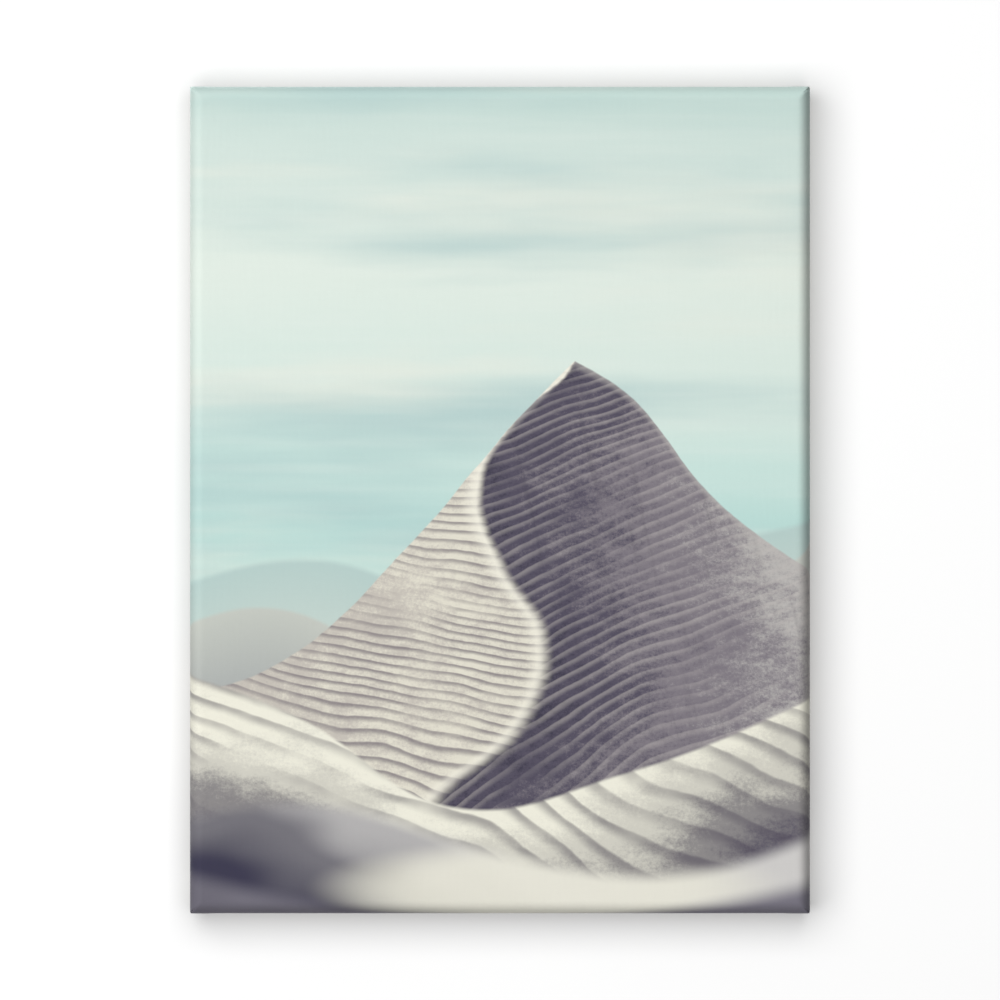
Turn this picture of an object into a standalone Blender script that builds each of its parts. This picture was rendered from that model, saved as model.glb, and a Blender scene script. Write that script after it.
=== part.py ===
"""Stretched canvas print, 300 x 400 mm, on mitred pine stretcher bars.

X runs to the right, the printed face looks along -Y, the wall is on the +Y side and Z is
up. The origin is the point where the hanger's middle notch bears on its nail.
"""

from math import cos, pi, radians, sin, sqrt

import bmesh
import bpy
from mathutils import Matrix, Vector

# Driving dimensions, in metres.
WIDTH = 0.300
HEIGHT = 0.400
DEPTH = 0.020  # from the printed face to the back of the turned-over cloth
CLOTH = 0.0005  # thickness of the canvas
GAP = 0.0003  # clearance between neighbouring pieces
EDGE_WIDTH = 0.0062  # the face begins to round over this far in from the outline
EDGE_DEPTH = 0.0096  # and meets the flat of the side this far behind the face
BACK_RADIUS = 0.0015  # of the cloth round the back edges
TURNOVER = 0.020  # cloth folded on to the back of the bars
FOLD_LAYER = 0.00035  # each further layer of cloth in a corner fold

BAR_WIDTH = 0.038
LIP_FLAT = 0.002  # flat top of the bar's raised lip, beside its rounded edge
LIP_SLOPE = 0.003  # the lip falls away over this width
LIP_DROP = 0.0014  # and by this much
INNER_DROP = 0.0032  # the bar's front at its inner edge, below the lip
BAR_ARRIS = 0.0006  # chamfer on the bar's inner edges

STAPLE_CROWN = 0.010
STAPLE_LEG = 0.008
WIRE_WIDE = 0.0012
WIRE_THICK = 0.0006
STAPLE_INSET = 0.011  # staples in the turnover, from the outline
STAPLE_PITCH_ACROSS = 0.064
STAPLE_PITCH_DOWN = 0.060

HANGER_LENGTH = 0.045
HANGER_HEIGHT = 0.009
HANGER_PLATE = 0.0008
HANGER_RAISE = 0.0015  # the middle stands this far off the tabs
HANGER_MIDDLE = 0.0255  # length of the raised middle
HANGER_RAMP = 0.0015  # length of each step down to a tab
TOOTH_PITCH = 0.003
TOOTH_DEPTH = 0.0015
NOTCHES = 7
NAIL_AT = 0.0178  # of each hanger nail, from the middle
NAIL_HEAD = 0.0018  # radius
NAIL_SHANK = 0.0007  # radius
NAIL_LENGTH = 0.010
HANG_BELOW_TOP = 0.031  # the bearing notch, below the print's top edge

# Planes that follow from these.
BAR_BACK = -(GAP + HANGER_RAISE + HANGER_PLATE / 2)
FLAP_BACK = BAR_BACK + GAP + CLOTH
FACE = FLAP_BACK - DEPTH
TOP = HANG_BELOW_TOP
BOTTOM = TOP - HEIGHT
MIDDLE = (TOP + BOTTOM) / 2
BAR_INSET = CLOTH + GAP  # of a bar's outer face, from the outline

# Length of the cloth round its elliptical front edge, from there to the back arris, and how
# far a corner fold leans along the turnover because of it.
EDGE_PATH = sqrt((3 * EDGE_WIDTH + EDGE_DEPTH) * (EDGE_WIDTH + 3 * EDGE_DEPTH))
EDGE_PATH = (3 * (EDGE_WIDTH + EDGE_DEPTH) - EDGE_PATH) * pi / 4
SIDE_PATH = EDGE_PATH + DEPTH - EDGE_DEPTH + BACK_RADIUS * (pi / 2 - 2)
FOLD_LEAN = SIDE_PATH - EDGE_WIDTH


def clear_scene():
    for item in list(bpy.data.objects):
        bpy.data.objects.remove(item, do_unlink=True)


def make_material(name, colour, roughness, metallic=0.0):
    made = bpy.data.materials.new(name)
    made.use_nodes = True
    shader = made.node_tree.nodes["Principled BSDF"]
    shader.inputs["Base Color"].default_value = (*colour, 1.0)
    shader.inputs["Roughness"].default_value = roughness
    shader.inputs["Metallic"].default_value = metallic
    return made


def mesh_from(bm, name, finish=None, smooth_below=None):
    """The bmesh as a mesh with its faces turned outwards."""
    bmesh.ops.recalc_face_normals(bm, faces=bm.faces)
    mesh = bpy.data.meshes.new(name)
    bm.to_mesh(mesh)
    bm.free()
    if finish:
        mesh.materials.append(finish)
    if smooth_below:
        mesh.shade_smooth()
        mesh.set_sharp_from_angle(angle=radians(smooth_below))
    return mesh


def place(name, mesh, root, at=(0.0, 0.0, 0.0), turn=0.0):
    """An object of this mesh, turned about Y and then moved."""
    made = bpy.data.objects.new(name, mesh)
    made.location = at
    made.rotation_euler = (0.0, turn, 0.0)
    made.parent = root
    bpy.context.scene.collection.objects.link(made)
    return made


def place_helper(name, mesh, root):
    """A cutter or a filler, which is never a part of its own."""
    made = place(name, mesh, root)
    made.hide_render = True
    made.display_type = "WIRE"
    return made


def add_boolean(target, helper, operation):
    modifier = target.modifiers.new(helper.name, "BOOLEAN")
    modifier.object = helper
    modifier.operation = operation
    modifier.solver = "EXACT"


def arc(centre, wide, deep, start, end, steps):
    """Points (inset, y) of part of an ellipse with these half axes.

    At 0 degrees it is outermost, at 90 nearest the wall."""
    points = []
    for step in range(steps + 1):
        angle = radians(start + (end - start) * step / steps)
        inset = centre[0] - wide * cos(angle)
        points.append((inset, centre[1] + deep * sin(angle)))
    return points


def front_edge(lost, start, end, steps):
    """The rounding of the front edge, of a surface that lies this far inside the cloth's."""
    centre = (EDGE_WIDTH, FACE + EDGE_DEPTH)
    return arc(centre, EDGE_WIDTH - lost, EDGE_DEPTH - lost, start, end, steps)


def back_edge(lost, start, end, steps):
    """The same for the rounding of the back edge."""
    centre = (BACK_RADIUS, FLAP_BACK - BACK_RADIUS)
    return arc(centre, BACK_RADIUS - lost, BACK_RADIUS - lost, start, end, steps)


# --- canvas ---------------------------------------------------------------------------


def canvas_profile():
    """Section (inset from the outline, y), from the face out, round to the back and home."""
    outer = front_edge(0.0, -90, 0, 10) + back_edge(0.0, 0, 90, 3)
    outer += [(TURNOVER, FLAP_BACK), (TURNOVER, FLAP_BACK - CLOTH)]
    return outer + back_edge(CLOTH, 90, 0, 3) + front_edge(CLOTH, 0, -90, 10)


def rectangle_loop(bm, inset, y):
    half = WIDTH / 2 - inset
    low, high = BOTTOM + inset, TOP - inset
    corners = ((-half, low), (half, low), (half, high), (-half, high))
    return [bm.verts.new((x, y, z)) for x, z in corners]


def make_canvas(root, finish):
    bm = bmesh.new()
    loops = [rectangle_loop(bm, inset, y) for inset, y in canvas_profile()]
    for here, there in zip(loops, loops[1:]):
        for k in range(4):
            n = (k + 1) % 4
            bm.faces.new((here[k], here[n], there[n], there[k]))
    bm.faces.new(loops[0])
    bm.faces.new(loops[-1])
    return place("canvas", mesh_from(bm, "canvas", finish, 40), root)


def corners():
    """Each corner as (outline x, outline z, inward x, inward z)."""
    half = WIDTH / 2
    return [
        (-half, TOP, 1, -1),
        (half, TOP, -1, -1),
        (-half, BOTTOM, 1, 1),
        (half, BOTTOM, -1, 1),
    ]


def add_low_block(bm, corner, outline, layers):
    """A flat-topped swelling on the turnover. The outline is (across, down) from a corner."""
    x0, z0, sx, sz = corner
    centre = [sum(point[k] for point in outline) / len(outline) for k in (0, 1)]
    base, crest = FLAP_BACK - CLOTH / 2, FLAP_BACK + layers * FOLD_LAYER
    foot, top = [], []
    for point in outline:
        a, b = point
        foot.append(bm.verts.new((x0 + sx * a, base, z0 + sz * b)))
        a, b = [point[k] + 0.14 * (centre[k] - point[k]) for k in (0, 1)]
        top.append(bm.verts.new((x0 + sx * a, crest, z0 + sz * b)))
    bm.faces.new(foot)
    bm.faces.new(top)
    for k in range(len(outline)):
        n = (k + 1) % len(outline)
        bm.faces.new((foot[k], foot[n], top[n], top[k]))


def make_fold_block(name, outline, layers, root):
    bm = bmesh.new()
    for corner in corners():
        add_low_block(bm, corner, outline, layers)
    return place_helper(name, mesh_from(bm, name), root)


def add_corner_folds(canvas, root):
    """The cloth folded under at each corner: three layers deep, and five beside the edge."""
    start, end = BACK_RADIUS + 0.0003, TURNOVER - 0.0005
    lean = FOLD_LEAN
    wide = [(start, start), (start + lean, start), (end + lean, end), (start, end)]
    thick = [(start, start + 0.0015), (end - 0.0015, end), (start, end)]
    for name, outline, layers in (("fold_wide", wide, 2), ("fold_thick", thick, 4)):
        add_boolean(canvas, make_fold_block(name, outline, layers, root), "UNION")


# --- stretcher bars -------------------------------------------------------------------


def bar_profile():
    """Closed section (inset from the outline, y), starting at the lip's rounded edge."""
    lip = FACE + BAR_INSET
    rounded = front_edge(BAR_INSET, -90, 0, 10) + back_edge(BAR_INSET, 0, 90, 2)
    inner = BAR_INSET + BAR_WIDTH
    flat = EDGE_WIDTH + LIP_FLAT
    inside = [
        (inner - BAR_ARRIS, BAR_BACK),
        (inner, BAR_BACK - BAR_ARRIS),
        (inner, lip + INNER_DROP + BAR_ARRIS),
        (inner - BAR_ARRIS, lip + INNER_DROP),
        (flat + LIP_SLOPE, lip + LIP_DROP),
        (flat, lip),
    ]
    return rounded + inside


def bar_mesh(name, length, finish):
    """A bar along X with its outer edge at Z = 0, cut at 45 degrees at both ends."""
    bm = bmesh.new()
    loops = []
    for side in (-1, 1):
        loop = []
        for inset, y in bar_profile():
            end = length / 2 - inset - GAP / sqrt(2)
            loop.append(bm.verts.new((side * end, y, -inset)))
        loops.append(loop)
    count = len(loops[0])
    for k in range(count):
        n = (k + 1) % count
        bm.faces.new((loops[0][k], loops[0][n], loops[1][n], loops[1][k]))
    bm.faces.new(loops[0])
    bm.faces.new(loops[1])
    return mesh_from(bm, name, finish, 30)


def make_bars(root, finish):
    across = bar_mesh("stretcher_bar_across", WIDTH, finish)
    upright = bar_mesh("stretcher_bar_upright", HEIGHT, finish)
    half = WIDTH / 2
    return [
        place("stretcher_bar_top", across, root, (0, 0, TOP)),
        place("stretcher_bar_bottom", across, root, (0, 0, BOTTOM), pi),
        place("stretcher_bar_left", upright, root, (-half, 0, MIDDLE), -pi / 2),
        place("stretcher_bar_right", upright, root, (half, 0, MIDDLE), pi / 2),
    ]


# --- staples --------------------------------------------------------------------------


def staple_mesh(finish):
    """A wire staple: the crown along X with its underside at Y = 0, the legs along -Y."""
    half, thick, bend = STAPLE_CROWN / 2, WIRE_THICK, 0.0005
    side = [
        (half, -STAPLE_LEG + 0.0012),
        (half, thick - bend),
        (half - 0.3 * bend, thick - 0.3 * bend),
        (half - bend, thick),
    ]
    inside = [(half - thick, 0.0), (half - thick, -STAPLE_LEG)]
    outline = side + [(-x, y) for x, y in reversed(side)]
    outline += [(-x, y) for x, y in reversed(inside)] + inside
    bm = bmesh.new()
    face = bm.faces.new([bm.verts.new((x, y, -WIRE_WIDE / 2)) for x, y in outline])
    grown = bmesh.ops.extrude_face_region(bm, geom=[face])
    moved = [item for item in grown["geom"] if isinstance(item, bmesh.types.BMVert)]
    bmesh.ops.translate(bm, verts=moved, vec=(0, 0, WIRE_WIDE))
    return mesh_from(bm, "staple", finish)


def staple_places():
    """Name, location and turn of every staple. A turn of 0 lays the crown along X."""
    half, one = WIDTH / 2, FLAP_BACK + GAP
    three, five = one + 2 * FOLD_LAYER, one + 4 * FOLD_LAYER
    high, low = TOP - STAPLE_INSET, BOTTOM + STAPLE_INSET
    places = []
    for k in range(5):
        x = STAPLE_PITCH_ACROSS * (k - 2)
        y = three if k in (0, 4) else one
        tilt = radians(3) * sin(2.3 * k + 0.4)
        places.append((f"staple_top_{k + 1}", (x, y, high), tilt))
        places.append((f"staple_bottom_{k + 1}", (x, y, low), -tilt))
    for k in range(6):
        z = MIDDLE + STAPLE_PITCH_DOWN * (2.5 - k)
        tilt = pi / 2 + radians(3) * sin(1.9 * k + 1.1)
        places.append((f"staple_left_{k + 1}", (-half + STAPLE_INSET, one, z), tilt))
        places.append((f"staple_right_{k + 1}", (half - STAPLE_INSET, one, z), -tilt))
    for k, (x0, z0, sx, sz) in enumerate(corners()):
        at = (x0 + sx * 0.0078, five, z0 + sz * 0.0158)
        places.append((f"staple_fold_{k + 1}", at, 0.0))
        at = (x0 + sx * 0.0298, BAR_BACK + GAP, z0 + sz * 0.0298)
        places.append((f"joint_staple_{k + 1}", at, sx * sz * pi / 4))
    return places


def make_staples(root, finish):
    mesh = staple_mesh(finish)
    return [place(name, mesh, root, at, turn) for name, at, turn in staple_places()]


# --- hanger ---------------------------------------------------------------------------


def hanger_columns():
    """(x, low z, high z, y step) of each row of points across the strip, left to right."""
    high = HANGER_HEIGHT - TOOTH_DEPTH
    low = -TOOTH_DEPTH
    ramp_top = HANGER_MIDDLE / 2
    ramp_foot = ramp_top + HANGER_RAMP
    end, round_end = HANGER_LENGTH / 2, 0.0025
    right = []
    for k in range(NOTCHES // 2 + 1):
        right.append((k * TOOTH_PITCH, 0.0, high, HANGER_RAISE))
        right.append(((k + 0.5) * TOOTH_PITCH, low, high, HANGER_RAISE))
    right.append((ramp_top, low, high, HANGER_RAISE))
    right.append((ramp_foot, low, high, 0.0))
    for step in range(4):
        angle = radians(30 * step)
        x = end - round_end + round_end * sin(angle)
        cut = round_end * (1 - cos(angle))
        right.append((x, low + cut, high - cut, 0.0))
    left = [(-x, a, b, y) for x, a, b, y in reversed(right[1:])]
    return left + right


def hanger_mesh(finish):
    """A bent strip whose tabs lie GAP off the wood, with teeth along its lower edge."""
    bm = bmesh.new()
    base = BAR_BACK + GAP
    rows = []
    for x, low, high, step in hanger_columns():
        near, far = base + step, base + step + HANGER_PLATE
        corners_here = ((near, low), (near, high), (far, high), (far, low))
        rows.append([bm.verts.new((x, y, z)) for y, z in corners_here])
    for here, there in zip(rows, rows[1:]):
        for k in range(4):
            n = (k + 1) % 4
            bm.faces.new((here[k], here[n], there[n], there[k]))
    bm.faces.new(rows[0])
    bm.faces.new(rows[-1])
    return mesh_from(bm, "sawtooth_hanger", finish)


def turned_mesh(name, profile, finish=None, steps=14):
    """A solid turned about the Y axis from (radius, y) points, both ends on the axis."""
    bm = bmesh.new()
    verts = [bm.verts.new((radius, y, 0.0)) for radius, y in profile]
    edges = [bm.edges.new(pair) for pair in zip(verts, verts[1:])]
    bmesh.ops.spin(
        bm,
        geom=verts + edges,
        cent=(0, 0, 0),
        axis=(0, 1, 0),
        angle=2 * pi,
        steps=steps,
    )
    bmesh.ops.remove_doubles(bm, verts=bm.verts, dist=1e-6)
    return mesh_from(bm, name, finish, 50)


def nail_mesh(finish):
    """A small flat-headed nail, its head's underside at Y = 0 and its point along -Y."""
    profile = [
        (0.0, 0.0008),
        (NAIL_HEAD - 0.0005, 0.0008),
        (NAIL_HEAD, 0.0004),
        (NAIL_HEAD, 0.0),
        (NAIL_SHANK, 0.0),
        (NAIL_SHANK, -NAIL_LENGTH + 0.0015),
        (0.0, -NAIL_LENGTH),
    ]
    return turned_mesh("hanger_nail", profile, finish)


def nail_places():
    head_at = BAR_BACK + 2 * GAP + HANGER_PLATE
    z = HANGER_HEIGHT / 2 - TOOTH_DEPTH
    return [
        ("hanger_nail_left", (-NAIL_AT, head_at, z)),
        ("hanger_nail_right", (NAIL_AT, head_at, z)),
    ]


def make_hanger(root, steel, zinc):
    hanger = place("sawtooth_hanger", hanger_mesh(steel), root)
    nail = nail_mesh(zinc)
    for name, at in nail_places():
        place(name, nail, root, at)
    return hanger


# --- pockets --------------------------------------------------------------------------


def add_box(bm, low, high, matrix):
    size = [b - a for a, b in zip(low, high)]
    middle = [(a + b) / 2 for a, b in zip(low, high)]
    shape = Matrix.Translation(middle) @ Matrix.Diagonal((*size, 1.0))
    bmesh.ops.create_cube(bm, size=1.0, matrix=matrix @ shape)


def make_staple_pockets(root):
    """A slot round each staple leg, GAP wider all round, that the canvas and bars lose."""
    bm = bmesh.new()
    leg = STAPLE_CROWN / 2 - WIRE_THICK / 2
    reach = WIRE_THICK / 2 + GAP
    for _, at, turn in staple_places():
        matrix = Matrix.Translation(at) @ Matrix.Rotation(turn, 4, "Y")
        for x in (-leg, leg):
            low = (x - reach, -STAPLE_LEG - GAP, -WIRE_WIDE / 2 - GAP)
            high = (x + reach, 0.002, WIRE_WIDE / 2 + GAP)
            add_box(bm, low, high, matrix)
    return place_helper("staple_pockets", mesh_from(bm, "staple_pockets"), root)


def make_nail_pockets(root):
    """A round hole for each hanger nail, through its tab and into the top bar."""
    bm = bmesh.new()
    radius = NAIL_SHANK + GAP
    length = NAIL_LENGTH + GAP + 0.0002
    for _, at in nail_places():
        middle = Vector(at) + Vector((0, 0.0002 - length / 2, 0))
        matrix = Matrix.Translation(middle) @ Matrix.Rotation(pi / 2, 4, "X")
        bmesh.ops.create_cone(
            bm,
            cap_ends=True,
            segments=12,
            radius1=radius,
            radius2=radius,
            depth=length,
            matrix=matrix,
        )
    return place_helper("nail_pockets", mesh_from(bm, "nail_pockets"), root)


def build():
    clear_scene()
    root = bpy.data.objects.new("hang_point", None)
    root.empty_display_size = 0.02
    bpy.context.scene.collection.objects.link(root)

    printed = make_material("printed_canvas", (0.62, 0.74, 0.70), 0.85)
    pine = make_material("pine", (0.66, 0.47, 0.27), 0.65)
    zinc = make_material("galvanised_wire", (0.55, 0.56, 0.57), 0.35, 1.0)
    steel = make_material("pressed_steel", (0.60, 0.60, 0.62), 0.30, 1.0)

    canvas = make_canvas(root, printed)
    add_corner_folds(canvas, root)
    bars = make_bars(root, pine)
    make_staples(root, zinc)
    hanger = make_hanger(root, steel, zinc)

    staple_pockets = make_staple_pockets(root)
    nail_pockets = make_nail_pockets(root)
    for piece in [canvas, *bars]:
        add_boolean(piece, staple_pockets, "DIFFERENCE")
    for piece in (bars[0], hanger):
        add_boolean(piece, nail_pockets, "DIFFERENCE")


build()
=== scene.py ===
"""Stretched canvas print on pine bars, seen from the front on a pale wall.

The canvas is one sheet of cloth, folded at the corners from its flat shape. The print on
it is a plain dune landscape made with shader nodes.
"""

import bpy
import numpy as np
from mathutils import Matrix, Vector


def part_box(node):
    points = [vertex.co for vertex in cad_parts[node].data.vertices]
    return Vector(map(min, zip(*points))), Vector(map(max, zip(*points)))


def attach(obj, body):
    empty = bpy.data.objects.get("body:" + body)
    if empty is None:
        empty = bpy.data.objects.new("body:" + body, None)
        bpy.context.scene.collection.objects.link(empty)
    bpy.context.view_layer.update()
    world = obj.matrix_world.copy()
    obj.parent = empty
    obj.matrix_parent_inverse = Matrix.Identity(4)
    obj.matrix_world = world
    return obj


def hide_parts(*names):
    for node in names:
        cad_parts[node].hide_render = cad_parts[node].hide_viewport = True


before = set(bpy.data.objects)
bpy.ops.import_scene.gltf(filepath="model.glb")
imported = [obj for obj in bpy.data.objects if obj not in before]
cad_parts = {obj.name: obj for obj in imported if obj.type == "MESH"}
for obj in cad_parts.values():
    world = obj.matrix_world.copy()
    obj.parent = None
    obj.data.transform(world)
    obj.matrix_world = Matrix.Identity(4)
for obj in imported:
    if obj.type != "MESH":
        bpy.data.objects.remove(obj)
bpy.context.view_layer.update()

# The solid canvas, in metres. The front looks along -Y.
low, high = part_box("canvas")
HALF_W = (high.x - low.x) / 2
HALF_H = (high.z - low.z) / 2
MIDDLE = (high.z + low.z) / 2
FACE = low.y
DEPTH = 0.020  # from the face to the turned-over cloth
EDGE_WIDTH = 0.0062  # the front edge is a quarter of an ellipse, this wide
EDGE_DEPTH = 0.0096  # and this deep
BACK_RADIUS = 0.0015  # of the edge between a side and the back
TURNOVER = 0.020  # from the outline to the cut
BAR_WIDTH = 0.038

# The cloth.
THICK = 0.00030
LAYER = 0.00031  # from one layer to the next in a corner fold
SLACK = 0.00048  # a folded corner is pulled in to the wood by this much
LIFT = 0.00022  # the turnover stands off its plain place by this much, under the staples
BLEED = 0.004  # the print ends this far past the back edge
WANDER = 0.0004  # the hand-cut edge strays by this much in long waves
FLUTTER = 0.0003  # and by this much in short ones

# The grid of the cloth. Its lines near the edges are numbered from the corner fold's start.
STEP = 0.001  # from one line to the next round the edges
FACE_STEP = 0.005  # and on the face
LEAD_STEPS = 20  # fine steps on the face, before the fold's start
FOLD_STEPS = 19  # from the fold's start to the back's outline
TURNOVER_STEPS = round(TURNOVER / STEP)
FACE_LINE = -999  # the number of every line in the middle of the face
TINY = 1e-7

# Lengths along the cloth, from where its front edge begins to curve.
EDGE_TURN = np.linspace(0, np.pi / 2, 721)
EDGE_STEPS = np.hypot(
    np.diff(EDGE_WIDTH * np.sin(EDGE_TURN)), np.diff(EDGE_DEPTH * np.cos(EDGE_TURN))
)
EDGE_LENGTH = np.concatenate([[0.0], np.cumsum(EDGE_STEPS)])
SIDE_FROM = EDGE_LENGTH[-1]
SIDE_TO = SIDE_FROM + DEPTH - EDGE_DEPTH - BACK_RADIUS
BACK_FROM = SIDE_TO + BACK_RADIUS * np.pi / 2
ARRIS = BACK_FROM - BACK_RADIUS
CUT = ARRIS + TURNOVER
SHEET = 2 * (HALF_W - EDGE_WIDTH + CUT), 2 * (HALF_H - EDGE_WIDTH + CUT)  # size when flat
FOLD_FROM = ARRIS - FOLD_STEPS * STEP  # the corner's fold begins here, on the front curve
FLAT_BACK = ARRIS + 1  # a length that is past every curve


def smooth(x):
    x = np.clip(x, 0.0, 1.0)
    return x * x * (3.0 - 2.0 * x)


# --- canvas: shape ----------------------------------------------------------------------


def profile(q):
    """(inset, y, outward, back) of the cloth's middle and its normal at length q."""
    turn = np.interp(q, EDGE_LENGTH, EDGE_TURN)
    tilt = np.arctan2(EDGE_DEPTH * np.sin(turn), EDGE_WIDTH * np.cos(turn))
    back_turn = np.clip((q - SIDE_TO) / BACK_RADIUS, 0, np.pi / 2)
    back = BACK_RADIUS - THICK / 2
    inset = EDGE_WIDTH * (1 - np.sin(turn)) + THICK / 2 * np.sin(tilt) + np.maximum(-q, 0)
    inset += back * (1 - np.cos(back_turn)) + np.maximum(q - BACK_FROM, 0)
    y = FACE + EDGE_DEPTH * (1 - np.cos(turn)) + THICK / 2 * np.cos(tilt)
    y += np.clip(q - SIDE_FROM, 0, SIDE_TO - SIDE_FROM) + back * np.sin(back_turn)
    y += LIFT * smooth(back_turn)
    outward = np.sin(tilt) * np.cos(back_turn)
    back_normal = np.where(back_turn > 0, np.sin(back_turn), -np.cos(tilt))
    return inset, y, outward, back_normal


def edge_inset(q):
    """How far in from the outline the cloth's middle lies round the front edge."""
    return profile(np.clip(q, 0, SIDE_FROM))[0]


def corner_line(q):
    """How far over the corner's edge lies in the flat cloth, at length q down a side."""
    curve = EDGE_WIDTH * np.sin(np.interp(q, EDGE_LENGTH, EDGE_TURN))
    start = FOLD_FROM - EDGE_WIDTH * np.sin(np.interp(FOLD_FROM, EDGE_LENGTH, EDGE_TURN))
    eased = curve + start * (1 - smooth((q - FOLD_FROM) / (SIDE_FROM - FOLD_FROM)))
    return np.where(q > FOLD_FROM, eased, q)


def fold_share(q):
    """0 where the corner has no fold yet, 1 where it is wide enough to lie flat."""
    wide_enough = 0.002
    return smooth((q - corner_line(q)) / wide_enough)


def turned_back(q):
    """0 on a side, 1 on the back."""
    return smooth((q - SIDE_TO) / (ARRIS - SIDE_TO))


def sunk(q):
    """How far a folded corner is pulled in to the wood, at length q down a side."""
    return SLACK * fold_share(q) * (1 - turned_back(q))


def grid_lines(half):
    """Flat positions of the grid's lines and, near the edges, their number past the fold."""
    number = np.arange(-LEAD_STEPS, FOLD_STEPS + TURNOVER_STEPS + 1)
    edge = half - EDGE_WIDTH + FOLD_FROM + number * STEP
    count = int(round(2 * edge[0] / FACE_STEP))
    middle = np.linspace(-edge[0], edge[0], count + 1)[1:-1]
    inner = np.full(len(middle), FACE_LINE)
    lines = np.concatenate([-edge[::-1], middle, edge])
    return lines, np.concatenate([number[::-1], inner, number])


def drawn_over(deep, other):
    """The flat place of a grid line that the corner's fold pulls sideways, at depth deep."""
    line = corner_line(deep)
    reach, full = 40 * STEP, 20 * STEP  # it is pulled from the first, in full from the second
    fade = np.clip((other - FOLD_FROM + reach) / (reach - full), 0, 1)
    below = other + (line - FOLD_FROM) * fade
    span = np.maximum(deep - FOLD_FROM, 1e-9)
    above = line + (deep - line) * (other - FOLD_FROM) / span
    near = np.where(deep > FOLD_FROM, below, other)
    return np.where(other > FOLD_FROM, above, near)


def side_place(path, other, under):
    """(own inset, cross inset, y, outward, back) for cloth laid over one side and its back.

    other is how far the point lies past the start of the neighbouring side's curve, and
    under is true where the cloth goes on under the neighbouring side's."""
    inset, y, outward, back = profile(path)
    reach = EDGE_WIDTH - edge_inset(path) - np.where(under, sunk(path), 0)
    squeeze = reach / np.maximum(corner_line(path), 1e-6)
    cross = EDGE_WIDTH - np.where((other > 0) & (path > 0), other * squeeze, other)
    over = turned_back(path)
    behind = profile(ARRIS + np.maximum(EDGE_WIDTH - other, 0))
    cross = cross + over * (behind[0] - cross)
    y = y - over * (profile(FLAT_BACK)[1] - behind[1])
    return inset, cross, y, outward, back


def fold_place(path, past):
    """The same for cloth folded under at a corner, past the corner's edge by that much."""
    inset, y, outward, back = profile(path)
    over = turned_back(path)
    behind = profile(ARRIS + past)
    cross = (1 - over) * (edge_inset(path) + past) + over * behind[0]
    y = y - over * (profile(FLAT_BACK)[1] - behind[1])
    return inset, cross, y, outward, back


def pair_below(along, behind):
    """1 on the back where the side's turnover and its gusset lie under the top's.

    behind is how far the point lies in from the back's outline, and along how far it is
    from the corner. The step down beyond the two layers is eased."""
    rise, fall = 0.002, 0.003
    return smooth(behind / rise) * (1 - smooth((along - behind) / fall))


def gusset_place(across, behind, kt):
    """(inset, cross, y) of the side's turnover, folded over on itself along its diagonal."""
    on_line = np.abs(across - behind) < TINY
    first, second = profile(ARRIS + across), profile(ARRIS + behind)
    layers = np.where(on_line, 0.5, np.where(kt == 0, 1.5, 1.0))
    height = layers * smooth(behind / BACK_RADIUS) * LAYER
    return first[0], second[0], first[1] + second[1] - profile(FLAT_BACK)[1] + height


def hand_cut(own, other, right):
    """How far the hand-cut edge of the turnover wanders, which it doesn't near a corner."""
    behind = own - ARRIS
    corner, ease, turnover_ease = 0.040, 0.02, 0.01
    free = smooth((behind - BACK_RADIUS) / turnover_ease) * smooth((-other - corner) / ease)
    wave = WANDER * np.sin(other * 61 + right * 2.1) + FLUTTER * np.sin(other * 153 + 1)
    return np.where(behind > BACK_RADIUS, free * wave, 0)


def corner_shape(s, t, ks, kt):
    """Insets and y of the cloth's middle, and its flat place.

    s and t are flat, past the starts of the right and top curves. ks and kt are the
    numbers of their grid lines."""
    shape = np.broadcast(s, t).shape
    s, t, ks, kt = (np.broadcast_to(v, shape) for v in (s, t, ks, kt))
    right = s >= t
    own = np.where(right, s, t)
    other = drawn_over(own, np.where(right, t, s))
    flat = np.where(right, own, other), np.where(right, other, own)
    excess = (ks > 0) & (kt > 0)
    past = np.maximum(other - corner_line(own), 0)

    panel = side_place(own, other, right)
    folded = fold_place(own, past)
    inset, cross, y, outward, back = (
        np.where(excess, b, a) for a, b in zip(panel, folded)
    )

    # Heights above the plain place, in layers, for the top side and what is folded there.
    behind = own - ARRIS
    across = np.maximum(EDGE_WIDTH - other, 0)
    share = fold_share(own)
    below = pair_below(past, behind)
    crease = ks == kt
    height = np.where(crease, 0.5, np.where(right, 0.0, 1.0)) * share + 2 * below
    folded_height = height * LAYER - sunk(own)

    width = own - corner_line(own)
    away = np.maximum(corner_line(own) - other, 0)
    taper = 0.008  # the top's cloth comes down to its plain place over this much
    inside = 1 - smooth((away - width) / taper)
    top = (2 * share * LAYER - sunk(own)) * inside + 2 * LAYER * pair_below(across, behind)
    top = top - np.where((ks == 0) & (kt > 0), 0.5 * LAYER * share, 0)
    top = np.where(own > FOLD_FROM, top, 0)

    lift = np.where(excess, folded_height, np.where(right, 0.0, top))
    inset = inset - lift * outward
    y = y + lift * back
    gusset = right & (ks > FOLD_STEPS) & (kt <= 0) & (across <= behind + TINY)
    inset, cross, y = (
        np.where(gusset, b, a)
        for a, b in zip((inset, cross, y), gusset_place(across, behind, kt))
    )
    inset = inset + hand_cut(own, other, right)

    # own is towards the side named by right; excess cloth always lies on the top.
    own_is_x = right & ~excess
    x_inset = np.where(own_is_x | gusset, inset, cross)
    z_inset = np.where(own_is_x | gusset, cross, inset)
    return x_inset, z_inset, y, flat


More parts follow.
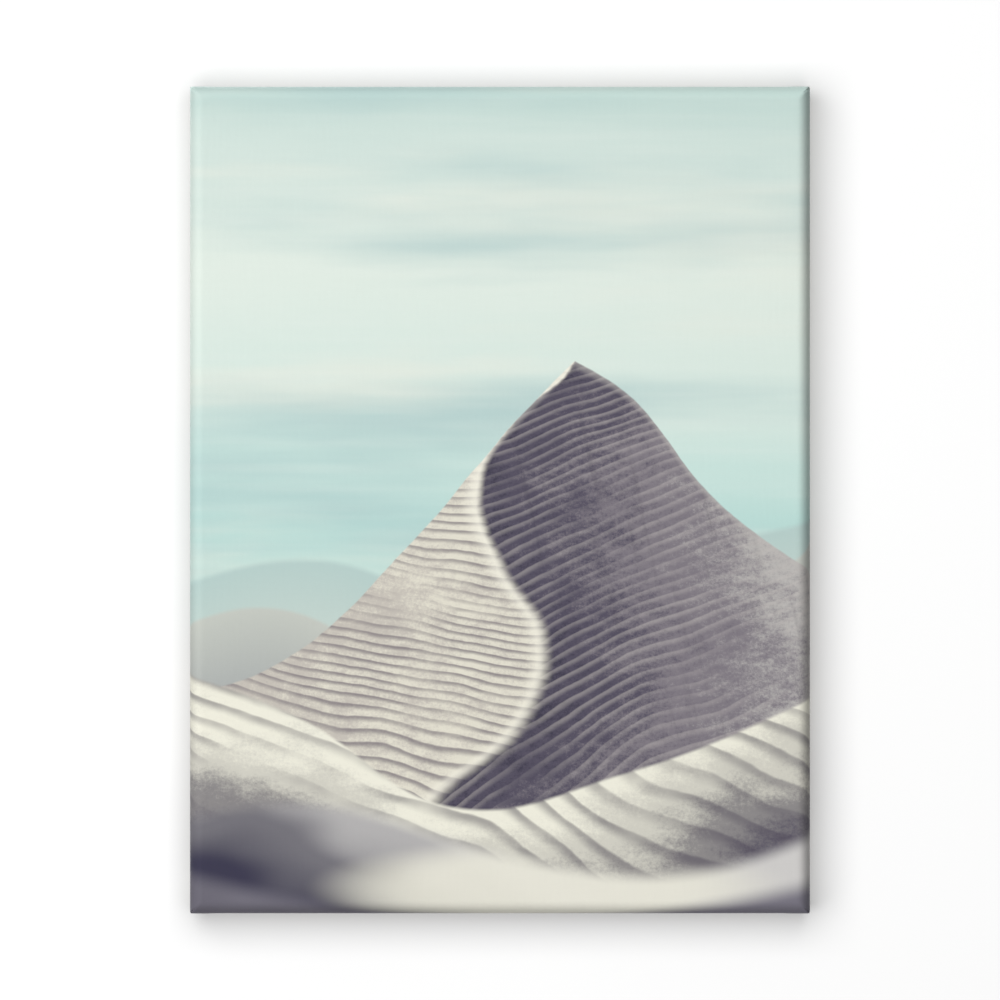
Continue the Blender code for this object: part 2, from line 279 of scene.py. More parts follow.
def cloth_points(x, z, kx, kz):
    """Middle points of the whole sheet, and their places on it when it is flat."""
    ks, kt = kx[:, None], kz[None, :]
    s = np.abs(x)[:, None] - (HALF_W - EDGE_WIDTH)
    t = np.abs(z)[None, :] - (HALF_H - EDGE_WIDTH)
    x_inset, z_inset, y, (flat_s, flat_t) = corner_shape(s, t, ks, kt)
    sx, sz = np.sign(x)[:, None], np.sign(z)[None, :]
    points = np.stack(
        [sx * (HALF_W - x_inset), y, MIDDLE + sz * (HALF_H - z_inset)], axis=-1
    )
    flat = np.stack(
        [
            sx * (flat_s + HALF_W - EDGE_WIDTH),
            sz * (flat_t + HALF_H - EDGE_WIDTH),
        ],
        axis=-1,
    )
    return points.reshape(-1, 3), flat.reshape(-1, 2)


def grid_faces(x, z, kx, kz):
    """The grid's quads, its triangles where a crease cuts a cell in two, and its border."""
    index = np.arange(len(x) * len(z)).reshape(len(x), len(z))
    a, b = index[:-1, :-1], index[1:, :-1]
    c, d = index[1:, 1:], index[:-1, 1:]
    # The number of each cell's inner line, and the way its crease runs if it has one.
    inner_x = np.minimum(kx[:-1], kx[1:])[:, None] + 0 * kz[None, :-1]
    inner_z = np.minimum(kz[:-1], kz[1:])[None, :] + 0 * kx[:-1, None]
    fold = (inner_x >= 0) & (inner_x == inner_z)
    gusset = (inner_x >= FOLD_STEPS) & (inner_z < 0) & (inner_x - FOLD_STEPS == -inner_z - 1)
    middle = (x[:-1] + x[1:])[:, None] * (z[:-1] + z[1:])[None, :]
    rising = np.where(gusset, middle < 0, middle > 0)
    split = fold | gusset
    quads = np.stack([a, b, c, d], axis=-1)[~split]
    up, down = split & rising, split & ~rising
    triangles = np.concatenate(
        [
            np.stack([a, b, c], axis=-1)[up],
            np.stack([a, c, d], axis=-1)[up],
            np.stack([a, b, d], axis=-1)[down],
            np.stack([b, c, d], axis=-1)[down],
        ]
    )
    border = np.concatenate([index[:, 0], index[-1, 1:], index[-2::-1, -1], index[0, -2::-1]])
    return quads, triangles, border


def point_normals(points, faces):
    """Unit normals of the points, from groups of faces of one size each."""
    normals = np.zeros_like(points)
    for group in faces:
        corner = points[group]
        last = group.shape[1] - 1
        face = np.cross(corner[:, 1] - corner[:, 0], corner[:, last] - corner[:, 0])
        for k in range(group.shape[1]):
            np.add.at(normals, group[:, k], face)
    return normals / np.maximum(np.linalg.norm(normals, axis=1), 1e-15)[:, None]


# The canvas's UV map: the printed face fills most of it, and the raw one a small part.
PRINT_UV, PRINT_UV_FROM = 0.985, 0.006
RAW_UV, RAW_UV_FROM = 0.22, (0.79, 0.01)
RIM_UV = 0.0015  # width of the cut edge's strip


def unwrap(mesh, flat, corner_point, first_rim):
    """Lay both faces out flat in the UV map OFBake, with the cut edge as a strip round."""
    count = len(flat)
    both = np.concatenate([flat, flat])
    uv = (both + np.array(SHEET) / 2) / SHEET[1] * PRINT_UV + PRINT_UV_FROM
    uv[count:] = uv[count:] * RAW_UV + RAW_UV_FROM
    per_corner = uv[corner_point]
    rim = corner_point[first_rim:]
    outward = np.sign(both[rim % count]) * (rim >= count)[:, None] * RIM_UV
    per_corner[first_rim:] = uv[rim % count] + outward
    layer = mesh.uv_layers.new(name="OFBake")
    layer.data.foreach_set("uv", per_corner.astype("f4").ravel())


def build_canvas(printed, raw):
    """The cloth, its outer face printed and its inner face raw, and its flat size."""
    (x, kx), (z, kz) = grid_lines(HALF_W), grid_lines(HALF_H)
    points, flat = cloth_points(x, z, kx, kz)
    quads, triangles, border = grid_faces(x, z, kx, kz)
    count = len(points)
    normals = point_normals(points, (quads, triangles))
    skin = np.concatenate([points + normals * THICK / 2, points - normals * THICK / 2])
    after = np.roll(border, -1)
    rim = np.stack([after, border, border + count, after + count], axis=1)
    groups = [
        quads,
        triangles,
        quads[:, ::-1] + count,
        triangles[:, ::-1] + count,
        rim,
    ]
    faces = [list(map(int, face)) for group in groups for face in group]
    mesh = bpy.data.meshes.new("canvas_cloth")
    mesh.from_pydata(skin.tolist(), [], faces)

    # Where each point lies on the flat sheet, from its middle, for the print and the weave.
    both = np.concatenate([flat, flat])
    side = np.repeat([0.0, 1.0], count)
    place = mesh.attributes.new("flat", "FLOAT_VECTOR", "POINT")
    place.data.foreach_set("vector", np.column_stack([both, side]).astype("f4").ravel())

    corner_point = np.array([k for face in faces for k in face])
    unwrap(mesh, flat, corner_point, first_rim=sum(group.size for group in groups[:-1]))

    mesh.materials.append(printed)
    mesh.materials.append(raw)
    outer = len(quads) + len(triangles)
    slots = np.ones(len(faces), dtype="i4")
    slots[:outer] = 0
    mesh.polygons.foreach_set("material_index", slots)
    mesh.shade_smooth()
    mesh.validate()
    mesh.update()
    cloth = bpy.data.objects.new("canvas_cloth", mesh)
    bpy.context.scene.collection.objects.link(cloth)
    return cloth, SHEET


# --- shader tools -----------------------------------------------------------------------


def srgb(red, green, blue):
    """A colour given as 0 to 255 screen values, as the shader's linear one."""
    values = []
    for value in (red, green, blue):
        value /= 255
        low_end = value / 12.92
        values.append(low_end if value < 0.04045 else ((value + 0.055) / 1.055) ** 2.4)
    return (*values, 1.0)


class Value:
    """A shader value. Arithmetic on it adds Math nodes."""

    def __init__(self, tree, socket):
        self.tree = tree
        self.socket = socket

    def math(self, operation, *others):
        made = self.tree.nodes.new("ShaderNodeMath")
        made.operation = operation
        for socket, value in zip(made.inputs, (self, *others)):
            plug(self.tree, value, socket)
        return Value(self.tree, made.outputs[0])

    def __add__(self, other):
        return self.math("ADD", other)

    def __sub__(self, other):
        return self.math("SUBTRACT", other)

    def __mul__(self, other):
        return self.math("MULTIPLY", other)

    def __truediv__(self, other):
        return self.math("DIVIDE", other)

    def __rsub__(self, other):
        return (self * -1) + other

    __radd__, __rmul__ = __add__, __mul__

    def sine(self):
        return self.math("SINE")

    def ramp(self, start, end):
        """0 at start, 1 at end, eased between them."""
        made = self.tree.nodes.new("ShaderNodeMapRange")
        made.interpolation_type = "SMOOTHSTEP"
        for name, value in (("Value", self), ("From Min", start), ("From Max", end)):
            plug(self.tree, value, made.inputs[name])
        return Value(self.tree, made.outputs[0])

    def curve(self, *points, sharp=()):
        """A curve drawn through these points, both ways from 0 to 1."""
        made = self.tree.nodes.new("ShaderNodeFloatCurve")
        drawn = made.mapping.curves[0].points
        while len(drawn) < len(points):
            drawn.new(0.5, 0.5)
        for point, place in zip(drawn, points):
            point.location = place
            point.handle_type = "VECTOR" if place in sharp else "AUTO"
        made.mapping.update()
        plug(self.tree, self, made.inputs["Value"])
        return Value(self.tree, made.outputs[0])


def plug(tree, value, socket):
    """Link a shader value to the socket, or set the socket to a plain one."""
    if isinstance(value, Value):
        tree.links.new(value.socket, socket)
    else:
        socket.default_value = value


def noise(tree, place, detail, roughness):
    """Soft noise about 0.5 at this place, given by two or three coordinates."""
    vector = tree.nodes.new("ShaderNodeCombineXYZ")
    for value, socket in zip(place, vector.inputs):
        plug(tree, value, socket)
    made = tree.nodes.new("ShaderNodeTexNoise")
    tree.links.new(vector.outputs[0], made.inputs["Vector"])
    for name, value in (("Scale", 1.0), ("Detail", detail), ("Roughness", roughness)):
        made.inputs[name].default_value = value
    return Value(tree, made.outputs[0])


def mix(tree, factor, first, second):
    """One colour over another. The factor is 0 for the first and 1 for the second."""
    made = tree.nodes.new("ShaderNodeMix")
    made.data_type = "RGBA"
    for index, value in ((0, factor), (6, first), (7, second)):
        plug(tree, value, made.inputs[index])
    return Value(tree, made.outputs[2])


def stops(tree, value, *colours):
    """A colour ramp of (position, colour) stops."""
    made = tree.nodes.new("ShaderNodeValToRGB")
    made.color_ramp.interpolation = "EASE"
    elements = made.color_ramp.elements
    while len(elements) < len(colours):
        elements.new(0.5)
    for element, (position, colour) in zip(elements, colours):
        element.position = position
        element.color = colour
    plug(tree, value, made.inputs[0])
    return Value(tree, made.outputs[0])


def separate(tree, socket):
    made = tree.nodes.new("ShaderNodeSeparateXYZ")
    tree.links.new(socket, made.inputs[0])
    return [Value(tree, output) for output in made.outputs]


def new_material(name):
    """A new material, its node tree and its Principled shader."""
    made = bpy.data.materials.new(name)
    made.use_nodes = True
    return made, made.node_tree, made.node_tree.nodes["Principled BSDF"]


def add_bump(tree, shader, height, distance, strength):
    made = tree.nodes.new("ShaderNodeBump")
    made.inputs["Distance"].default_value = distance
    made.inputs["Strength"].default_value = strength
    plug(tree, height, made.inputs["Height"])
    tree.links.new(made.outputs[0], shader.inputs["Normal"])


# --- canvas: looks (u and v run from 0 to 1 across and up the face) ---------------------


def flat_place(tree):
    """The flat sheet's x, z and side."""
    made = tree.nodes.new("ShaderNodeAttribute")
    made.attribute_name = "flat"
    return separate(tree, made.outputs["Vector"])


THREAD = 0.00056  # from one thread to the next
UNEVEN = 3.0  # over some centimetres the threads drift by up to this many threads
RAW = srgb(236, 234, 226)
SPECULAR = 0.15  # cotton and ink hardly shine


def weave(tree, x, z):
    """Height of a plain weave, 0 to about 1: round threads over and under each other."""
    stray = noise(tree, (x * 260, z * 260), 2, 0.6) * 0.5
    spread = noise(tree, (x * 32, z * 20, 2.0), 2, 0.5) * UNEVEN + stray
    packed = noise(tree, (x * 20, z * 32, 9.0), 2, 0.5) * UNEVEN + stray
    warp, weft = x / THREAD + spread, z / THREAD + packed
    warp_wave, weft_wave = (warp * np.pi).sine(), (weft * np.pi).sine()
    over = (warp_wave * weft_wave).ramp(-0.35, 0.35)
    warp_round, weft_round = warp_wave.math("ABSOLUTE"), weft_wave.math("ABSOLUTE")
    warp_high = warp_round * (weft_round * 0.55 + 0.45)
    weft_high = weft_round * (warp_round * 0.55 + 0.45)
    slub = noise(tree, (x * 70, z * 1100), 3, 0.6)
    slub_down = noise(tree, (x * 1100, z * 70, 5.0), 3, 0.6)
    return warp_high * over + weft_high * (1 - over) + slub * 0.35 + slub_down * 0.35


def backdrop(tree, u, v):
    """Hazy sky: broad level bands of mint, aqua and grey teal, blurred sideways."""
    drift = noise(tree, (u * 1.2, v * 4.0, 3.1), 3, 0.5)
    height = v + (drift - 0.5) * 0.13
    sky = stops(
        tree,
        height,
        (0.36, srgb(190, 221, 214)),
        (0.46, srgb(187, 220, 214)),
        (0.54, srgb(200, 226, 219)),
        (0.62, srgb(215, 231, 223)),
        (0.78, srgb(223, 234, 225)),
        (0.90, srgb(209, 225, 218)),
        (1.00, srgb(194, 216, 210)),
    )
    cloud = noise(tree, (u, v * 9.0, 8.7), 4, 0.55)
    sky = mix(tree, cloud.ramp(0.48, 0.72) * 0.66, sky, srgb(230, 234, 223))
    grey = noise(tree, (u * 0.8, v * 7.0, 14.2), 4, 0.5)
    sky = mix(tree, grey.ramp(0.47, 0.74) * 0.75, sky, srgb(168, 198, 198))
    streak = noise(tree, (u * 2.5, v * 60.0, 21.0), 2, 0.5)
    return mix(tree, streak.ramp(0.40, 0.80) * 0.12, sky, srgb(232, 238, 232))


def ripples(tree, u, v, count, bend, seed):
    """Wind ripples: 0 on their sunny sides, 1 in the narrow shade behind each crest.

    They lie closer together towards the top of the picture, fork and fade out."""
    broad = noise(tree, (u * 2.2, v * 3.0, seed), 2, 0.5)
    stray = noise(tree, (u * 10, v * 16, seed + 2), 3, 0.6)
    near = v * (1.0 + 0.8 * v)
    place = (near + bend * u + broad * 0.16 + stray * 0.012) * count
    turn = place.math("FRACT")
    shade = turn.ramp(0.34, 0.82) * (1 - turn.ramp(0.86, 0.98))
    clear = noise(tree, (u * 5.0, v * 9.0, seed + 5), 3, 0.5)
    return shade * clear.ramp(0.26, 0.60)


def grain(tree, u, v, seed):
    """Uneven sand from a few millimetres down to single grains, -0.5 to 0.5."""
    patch = noise(tree, (u * 22, v * 60, seed), 6, 0.68)
    speck = noise(tree, (u * 240, v * 320, seed), 3, 0.8)
    return (patch - 0.5) * 1.1 + (speck - 0.5) * 0.8


def sunny_side(tree, u, v, aside, wave, sand):
    """The tall dune's left side. aside is how far right of its ridge a point lies."""
    colour = stops(
        tree,
        wave * 0.70 - aside * 0.75 + sand * 0.60 + 0.05,
        (0.05, srgb(243, 240, 224)),
        (0.40, srgb(226, 222, 207)),
        (0.70, srgb(196, 190, 181)),
        (1.00, srgb(158, 152, 153)),
    )
    wind = ripples(tree, u, v, count=52, bend=0.30, seed=1.0)
    return mix(tree, wind * 0.72, colour, srgb(112, 104, 113))


def shady_side(tree, u, v, aside, wave, sand):
    """The tall dune's right side, darkest by its ridge."""
    colour = stops(
        tree,
        aside * 1.55 + wave * 0.50 + sand * 0.62 - 0.14,
        (0.00, srgb(56, 53, 70)),
        (0.25, srgb(82, 77, 93)),
        (0.55, srgb(126, 120, 128)),
        (0.95, srgb(186, 183, 180)),
    )
    cross = ripples(tree, u, v, count=44, bend=-0.55, seed=9.0)
    colour = mix(tree, cross * 0.34, colour, srgb(196, 190, 186))
    fall = noise(tree, (u * 46 + v * 14, v * 5, 4.0), 3, 0.55)
    return mix(tree, fall.ramp(0.50, 0.80) * 0.22, colour, srgb(52, 48, 64))


def main_dune(tree, u, v):
    """Colour and cover of the tall dune, lit from the left, with a winding ridge."""
    peak = (0.62, 0.668)
    crest = u.curve(
        (0.0, 0.265), (0.16, 0.310), (0.36, 0.450), (0.52, 0.590), peak,
        (0.71, 0.625), (0.84, 0.505), (1.0, 0.415), sharp=[peak],
    )
    edge = noise(tree, (u * 14, v * 14, 2.0), 3, 0.6) * 0.006
    cover = (crest + edge - v).ramp(0.001, 0.004)
    ridge = v.curve(
        (0.0, 0.26), (0.14, 0.40), (0.24, 0.545), (0.33, 0.572), (0.42, 0.505),
        (0.51, 0.468), (0.60, 0.530), peak[::-1], (1.0, 0.64),
    )
    broken = noise(tree, (u * 22, v * 30, 3.0), 3, 0.6) - 0.5
    aside = u - ridge + broken * 0.010
    wave = noise(tree, (u * 2.6, v * 4.4, 6.0), 4, 0.55)
    sand = grain(tree, u, v, seed=1.5)
    lit = sunny_side(tree, u, v, aside, wave, sand)
    dark = shady_side(tree, u, v, aside, wave, sand)
    soft = 0.003 + (peak[1] - v) * 0.035
    shade = aside.ramp(soft * -1, soft)
    rim = aside.ramp(-0.035, -0.004) * (1 - shade)
    lit = mix(tree, rim * 0.65, lit, srgb(249, 246, 232))
    colour = mix(tree, shade, lit, dark)
    skyline = (1 - (crest - v).ramp(0.0, 0.012)) * shade
    return mix(tree, skyline * 0.45, colour, srgb(190, 186, 182)), cover


def low_dune(tree, u, v, crest, light, dark, soft, tilt, seed, sand=0.0):
    """Colour and cover of a nearer dune: a lit top that falls away into shade.

    soft is how blurred its crest is, and tilt how much more shade it has on its right."""
    cover = (crest - v).ramp(0.0, soft)
    wave = noise(tree, (u * 2.4, v * 6.0, seed), 2, 0.5)
    depth = (crest - v) * 4.6 + (u - 0.5) * tilt + (wave - 0.5) * 1.3 + sand
    colour = stops(
        tree,
        depth,
        (0.00, light),
        (0.30, mixed(light, dark, 0.30)),
        (0.62, mixed(light, dark, 0.78)),
        (1.00, dark),
    )
    return colour, cover


def mixed(first, second, share):
    """A plain colour between two others."""
    return tuple(a + (b - a) * share for a, b in zip(first, second))


def far_hills(tree, u, v, colour):
    """Two hazy hills in front of the sky's colour."""
    far = u.curve((0.0, 0.405), (0.20, 0.432), (0.45, 0.385), (0.78, 0.44), (1.0, 0.478))
    haze = mix(tree, (far - v) * 5.0, srgb(180, 204, 200), srgb(212, 219, 210))
    colour = mix(tree, (far - v).ramp(0.0, 0.010), colour, haze)
    middle = u.curve((0.0, 0.355), (0.14, 0.372), (0.38, 0.300), (0.80, 0.35), (1.0, 0.445))
    slope = mix(tree, (middle - v) * 7.0, srgb(196, 200, 192), srgb(158, 162, 164))
    return mix(tree, (middle - v).ramp(0.0, 0.007), colour, slope)


def front_dunes(tree, u, v, colour):
    """Three low dunes in front of that colour, each nearer and more blurred."""
    crest = u.curve((0.0, 0.290), (0.18, 0.238), (0.42, 0.132), (0.70, 0.172), (1.0, 0.262))
    light, dark = srgb(238, 236, 221), srgb(84, 79, 94)
    sand = grain(tree, u * 0.7, v * 0.7, seed=7.0) * 0.40
    near, cover = low_dune(
        tree, u, v, crest, light, dark, soft=0.006, tilt=0.20, seed=4.0, sand=sand
    )
    wind = ripples(tree, u, v, count=26, bend=0.40, seed=12.0)
    near = mix(tree, wind * 0.62, near, srgb(84, 78, 92))
    colour = mix(tree, cover, colour, near)

    crest = u.curve((0.0, 0.128), (0.22, 0.142), (0.50, 0.084), (0.78, 0.060), (1.0, 0.104))
    light, dark = srgb(206, 204, 202), srgb(56, 54, 74)
    front, cover = low_dune(
        tree, u, v, crest, light, dark, soft=0.026, tilt=-1.15, seed=7.0
    )
    glow = ((u - 0.58) * 2.6).math("POWER", 2.0) + ((v - 0.030) * 16.0).math("POWER", 2.0)
    front = mix(tree, (1 - glow).ramp(-0.1, 0.75) * 0.85, front, srgb(233, 231, 217))
    colour = mix(tree, cover, colour, front)

    crest = u.curve((0.0, 0.060), (0.20, 0.026), (0.38, 0.0), (1.0, 0.0))
    crest = crest.math("MAXIMUM", u.curve((0.0, 0.0), (0.62, 0.0), (0.82, 0.022), (1.0, 0.050)))
    light, dark = srgb(120, 117, 128), srgb(50, 48, 62)
    last, cover = low_dune(tree, u, v, crest, light, dark, soft=0.030, tilt=0.0, seed=17.0)
    return mix(tree, cover, colour, last)


def picture(tree, x, z):
    """The printed landscape as a colour, from the flat sheet's x and z."""
    u = x / (2 * HALF_W) + 0.5
    v = z / (2 * HALF_H) + 0.5
    colour = far_hills(tree, u, v, backdrop(tree, u, v))
    dune, cover = main_dune(tree, u, v)
    return front_dunes(tree, u, v, mix(tree, cover, colour, dune))


def printed_material():
    """Ink on cotton as far as the bleed past the back edge, and bare cotton beyond."""
    made, tree, shader = new_material("printed_canvas")
    x, z, _ = flat_place(tree)
    past_x = x.math("ABSOLUTE") - (HALF_W - EDGE_WIDTH)
    past_z = z.math("ABSOLUTE") - (HALF_H - EDGE_WIDTH)
    past = past_x.math("MAXIMUM", past_z)
    soft = 0.0002
    bare = past.ramp(ARRIS + BLEED - soft, ARRIS + BLEED + soft)
    colour = picture(tree, x, z)
    threads = weave(tree, x, z)
    # Painted shade: the print's colour is darkened towards black in the grooves between the
    # threads.
    groove_shade = 1 - threads.ramp(0.1, 0.8)
    colour = mix(tree, groove_shade * 0.07, colour, (0.02, 0.02, 0.02, 1.0))
    plug(tree, mix(tree, bare, colour, raw_cotton(tree, x, z)), shader.inputs["Base Color"])
    plug(tree, 0.74 - threads * 0.08 + bare * 0.2, shader.inputs["Roughness"])
    shader.inputs["Specular IOR Level"].default_value = SPECULAR
    add_bump(tree, shader, threads, distance=0.00009, strength=0.8)
    return made


def raw_cotton(tree, x, z):
    """Unprinted cotton, a little uneven in colour, with small seed flecks."""
    fleck = noise(tree, (x * 420, z * 1300), 3, 0.65)
    stain = noise(tree, (x * 12, z * 12), 3, 0.5)
    colour = mix(tree, stain * 0.35, RAW, srgb(226, 220, 205))
    return mix(tree, fleck.ramp(0.60, 0.80) * 0.45, colour, srgb(186, 172, 140))


def raw_material():
    """The inside of the canvas: bare cotton, with painted shade in the grooves between its
    threads.
    """
    made, tree, shader = new_material("raw_canvas")
    x, z, _ = flat_place(tree)
    threads = weave(tree, x, z)
    # Painted shade: the cotton is darker in the grooves between the threads.
    groove_shade = 1 - threads.ramp(0.1, 0.8)
    colour = mix(tree, groove_shade * 0.25, raw_cotton(tree, x, z), srgb(160, 152, 134))
    plug(tree, colour, shader.inputs["Base Color"])
    shader.inputs["Roughness"].default_value = 0.95
    shader.inputs["Specular IOR Level"].default_value = SPECULAR
    add_bump(tree, shader, threads, distance=0.00012, strength=0.9)
    return made


# --- wood and metal ---------------------------------------------------------------------


RINGS = 330  # growth rings in a metre
WIRE_EDGE = 0.00012  # how far the edges of staples and nails are rounded


def object_place(tree):
    """x, y and z in the piece's own frame."""
    made = tree.nodes.new("ShaderNodeTexCoord")
    return separate(tree, made.outputs["Object"])


def late_wood(tree, along, side, half, y, seed):
    """0 to 1 over each growth ring: rings round a heart that bends to and fro."""
    bend = noise(tree, (along * 2.2 + seed, side * 9, y * 9 + seed), 3, 0.45) - 0.5
    offset = side * (1 + half * 0.25) + bend * 0.035 + 0.006 * half
    deep = y * 0.9 + along * (0.035 * half) - 0.020
    radius = (offset * offset + deep * deep + 0.00001).math("SQRT")
    wobble = noise(tree, (along * 5 + seed, side * 60, y * 60), 3, 0.5)
    ring = (radius * RINGS + wobble * 1.1).math("FRACT")
    late = ring.ramp(0.20, 0.92) * (1 - ring.ramp(0.93, 1.0))
    strength = noise(tree, (along * 3, radius * 90, seed), 2, 0.5)
    return late * strength.ramp(0.25, 0.75)


def pine_material(name, upright):
    """Planed pine with its grain along the bar: long arches of growth rings and fine fibre."""
    made, tree, shader = new_material(name)
    x, y, z = object_place(tree)
    along, cross = (z, x) if upright else (x, z)
    middle = 0.0 if upright else MIDDLE
    reach = HALF_W if upright else HALF_H
    half = (cross - middle).math("SIGN")
    side = (cross - middle).math("ABSOLUTE") - (reach - BAR_WIDTH / 2)
    seed = half * 7.3 + (3.1 if upright else 0.0)
    late = late_wood(tree, along, side, half, y, seed)
    fibre = noise(tree, (along * 22, cross * 2200, y * 2200), 3, 0.6)
    pore = noise(tree, (along * 90, cross * 4200, y * 4200), 2, 0.5)
    tone = noise(tree, (along * 2.0 + seed, cross * 26, y * 10), 2, 0.5)
    colour = mix(tree, tone, srgb(232, 205, 160), srgb(216, 180, 128))
    colour = mix(tree, late * 0.55, colour, srgb(190, 140, 86))
    colour = mix(tree, fibre.ramp(0.50, 0.85) * 0.20, colour, srgb(172, 126, 78))
    colour = mix(tree, pore.ramp(0.62, 0.80) * 0.25, colour, srgb(140, 96, 56))
    plug(tree, colour, shader.inputs["Base Color"])
    plug(tree, 0.66 - late * 0.10 + fibre * 0.10, shader.inputs["Roughness"])
    shader.inputs["Specular IOR Level"].default_value = 0.35
    add_bump(tree, shader, fibre * 0.5 + late * 0.25, distance=0.00004, strength=0.7)
    return made


def metal_material(name, colour, stain, roughness, stretch):
    """Bare metal with a patchy coating, and drawing marks along x where stretch is low."""
    made, tree, shader = new_material(name)
    x, y, z = object_place(tree)
    patch = noise(tree, (x * 420, z * 420, y * 420), 3, 0.6)
    mark = noise(tree, (x * stretch, z * 5000, y * 5000), 2, 0.5)
    tint = mix(tree, patch.ramp(0.35, 0.75) * 0.6, colour, stain)
    plug(tree, tint, shader.inputs["Base Color"])
    shader.inputs["Metallic"].default_value = 1.0
    rough = patch * 0.16 + mark * 0.12 + (roughness - 0.12)
    plug(tree, rough, shader.inputs["Roughness"])
    add_bump(tree, shader, mark * 0.5 + patch * 0.5, distance=0.00003, strength=0.5)
    return made


def soften(node, width):
    """Round a small part's sharp edges."""
    bevel = node.modifiers.new("edges", "BEVEL")
    bevel.width = width
    bevel.segments = 2
    bevel.limit_method = "ANGLE"


def dress_cad_nodes():
    """Give the bars, the hanger, the staples and the nails their materials."""
    across, upright = pine_material("pine_across", False), pine_material("pine_upright", True)
    zinc = metal_material(
        "galvanised_wire",
        srgb(196, 198, 202),
        srgb(150, 153, 158),
        roughness=0.42,
        stretch=600,
    )
    steel = metal_material(
        "pressed_steel",
        srgb(206, 205, 200),
        srgb(178, 174, 164),
        roughness=0.34,
        stretch=250,
    )
    for name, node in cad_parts.items():
        if name.startswith("stretcher_bar"):
            finish = across if name.endswith(("top", "bottom")) else upright
        elif name == "sawtooth_hanger":
            finish = steel
        else:
            finish = zinc
        node.data.materials.clear()
        node.data.materials.append(finish)
        if finish is zinc:
            soften(node, WIRE_EDGE)


# --- wall, light and camera -------------------------------------------------------------


WALL = 0.0070  # the wall's y, a little behind the point that the print hangs by
WALL_GREY = 0.50
FLOOR_COLOUR = (0.80, 0.80, 0.79, 1.0)
LEFT, RIGHT, UP, DOWN, NEAR = -1.3, 1.3, 1.3, -1.6, -4.5  # where the wall and floor end


def add_plane(name, finish, corners):
    """A flat of the room. It lights nothing and shows in no reflection."""
    mesh = bpy.data.meshes.new(name)
    mesh.from_pydata(corners, [], [(0, 1, 2, 3)])
    mesh.materials.append(finish)
    plane = bpy.data.objects.new(name, mesh)
    bpy.context.scene.collection.objects.link(plane)
    plane.visible_diffuse = False
    plane.visible_glossy = False
    return plane


def plaster(name, colour):
    """Pale paint that can be seen from the room only, so the back can be looked at."""
    made, tree, shader = new_material(name)
    shader.inputs["Base Color"].default_value = colour
    shader.inputs["Roughness"].default_value = 0.9
    shader.inputs["Specular IOR Level"].default_value = 0.1
    behind = tree.nodes.new("ShaderNodeNewGeometry")
    clear = tree.nodes.new("ShaderNodeBsdfTransparent")
    choose = tree.nodes.new("ShaderNodeMixShader")
    output = tree.nodes["Material Output"]
    tree.links.new(behind.outputs["Backfacing"], choose.inputs[0])
    tree.links.new(shader.outputs[0], choose.inputs[1])
    tree.links.new(clear.outputs[0], choose.inputs[2])
    tree.links.new(choose.outputs[0], output.inputs["Surface"])
    return made


def build_room():
    """The wall behind the print and the floor in front of it."""
    wall = add_plane(
        "wall",
        plaster("wall_paint", (WALL_GREY, WALL_GREY, WALL_GREY, 1.0)),
        [(LEFT, WALL, DOWN), (RIGHT, WALL, DOWN), (RIGHT, WALL, UP), (LEFT, WALL, UP)],
    )
    ground = add_plane(
        "floor",
        plaster("pale_floor", FLOOR_COLOUR),
        [(LEFT, NEAR, DOWN), (RIGHT, NEAR, DOWN), (RIGHT, WALL, DOWN), (LEFT, WALL, DOWN)],
    )
    return [wall, ground]


def add_area(name, direction, distance, size, power, lights, blockers=None):
    """A square soft light in this direction from the print, turned towards it.

    It lights only these objects. Only the blockers shade it, or all objects if none is given."""
    lamp = bpy.data.lights.new(name, "AREA")
    lamp.shape = "SQUARE"
    lamp.size = size
    lamp.energy = power
    item = bpy.data.objects.new(name, lamp)
    aim = Vector(direction).normalized()
    item.location = Vector((0, 0, MIDDLE)) + aim * distance
    item.rotation_euler = aim.to_track_quat("Z", "Y").to_euler()
    item.visible_camera = False
    bpy.context.scene.collection.objects.link(item)
    item.light_linking.receiver_collection = gather(name + "_lights", lights)
    if blockers:
        item.light_linking.blocker_collection = gather(name + "_blockers", blockers)


def gather(name, objects):
    """A collection of these objects that is in no scene, for light linking."""
    made = bpy.data.collections.new(name)
    for item in objects:
        made.objects.link(item)
    return made


AMBIENT = 0.80  # the world's strength, as it is seen and reflected
DIFFUSE_AMBIENT = 0.32  # and as it lights matt surfaces


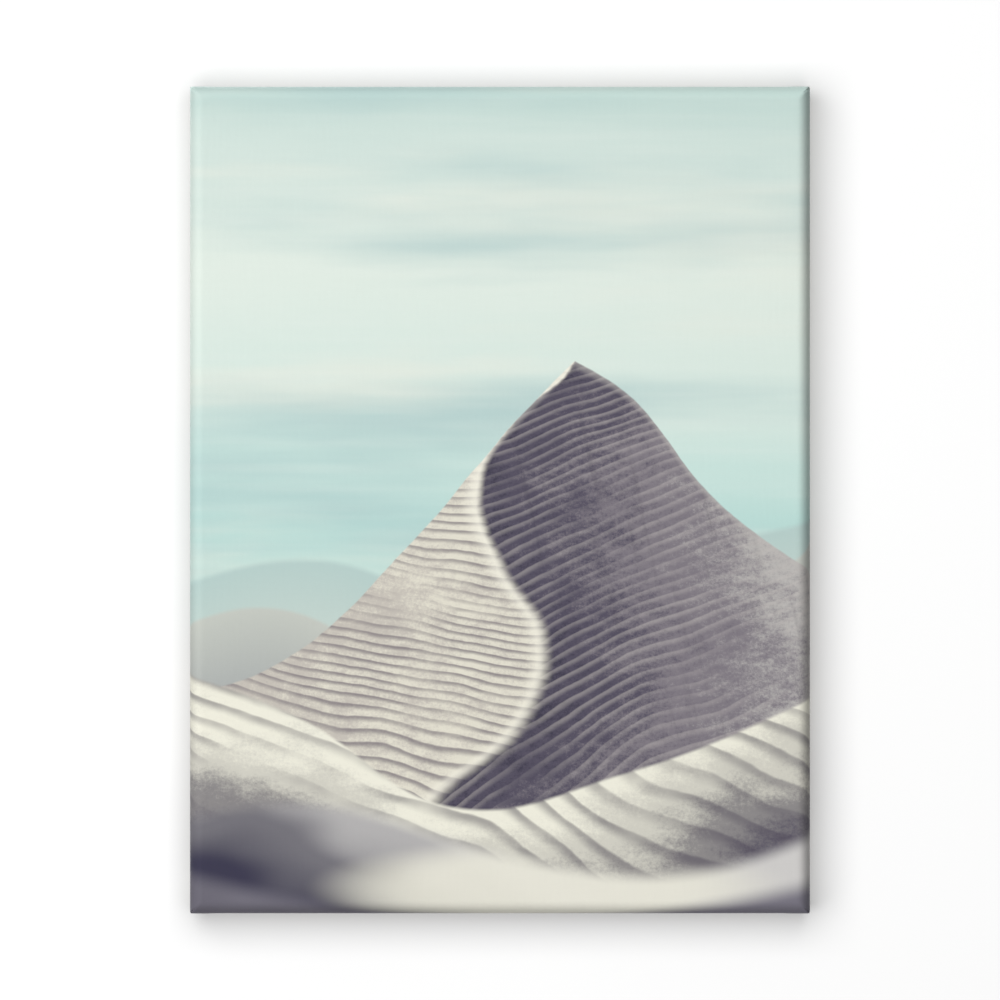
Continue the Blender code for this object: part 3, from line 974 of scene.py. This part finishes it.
def build_light(print_parts, room_parts):
    """A pale world and four lamps. The print and the wall are lit apart, each as it is in
    the photo: the print from the upper left, the wall evenly, with a soft shadow. The rear
    lamp shines through the wall, on the back."""
    world = bpy.data.worlds.new("studio")
    world.use_nodes = True
    tree = world.node_tree
    background = tree.nodes["Background"]
    background.inputs["Color"].default_value = (1.0, 1.0, 1.0, 1.0)
    diffuse = Value(tree, tree.nodes.new("ShaderNodeLightPath").outputs["Is Diffuse Ray"])
    strength = AMBIENT - diffuse * (AMBIENT - DIFFUSE_AMBIENT)
    plug(tree, strength, background.inputs["Strength"])
    bpy.context.scene.world = world
    upper_left, front = (-0.51, -1.0, 0.46), (-0.16, -1.0, 0.10)
    below, behind = (0.0, -0.10, -1.0), (-0.45, 1.0, 0.55)
    add_area("key", upper_left, distance=5.5, size=1.2, power=252, lights=print_parts)
    add_area("wall_wash", front, distance=2.2, size=3.0, power=135, lights=room_parts)
    add_area("from_below", below, distance=1.2, size=0.8, power=3.8, lights=print_parts)
    add_area(
        "rear",
        behind,
        distance=1.2,
        size=0.55,
        power=11,
        lights=print_parts,
        blockers=print_parts,
    )


CAMERA_DISTANCE = 6.0
FRAME_WIDTH = 0.48405  # of what the camera sees, at the print's outline
SENSOR = 36.0  # millimetres


def build_camera():
    """Square on to the print and far off, with the print in the photo's place."""
    lens = bpy.data.cameras.new("camera")
    item = bpy.data.objects.new("camera", lens)
    outline = FACE + EDGE_DEPTH
    item.location = (0.0, outline - CAMERA_DISTANCE, MIDDLE)
    item.rotation_euler = (np.pi / 2, 0.0, 0.0)
    lens.sensor_width = SENSOR
    lens.lens = SENSOR * CAMERA_DISTANCE / FRAME_WIDTH
    lens.clip_start, lens.clip_end = 0.05, 30.0
    bpy.context.scene.collection.objects.link(item)
    bpy.context.scene.camera = item


printed, raw = printed_material(), raw_material()
cloth, flat_size = build_canvas(printed, raw)
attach(cloth, "root")
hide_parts("canvas")
dress_cad_nodes()
room = build_room()
build_light([cloth, *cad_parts.values()], room)
build_camera()
bpy.context.scene.view_settings.view_transform = "Standard"
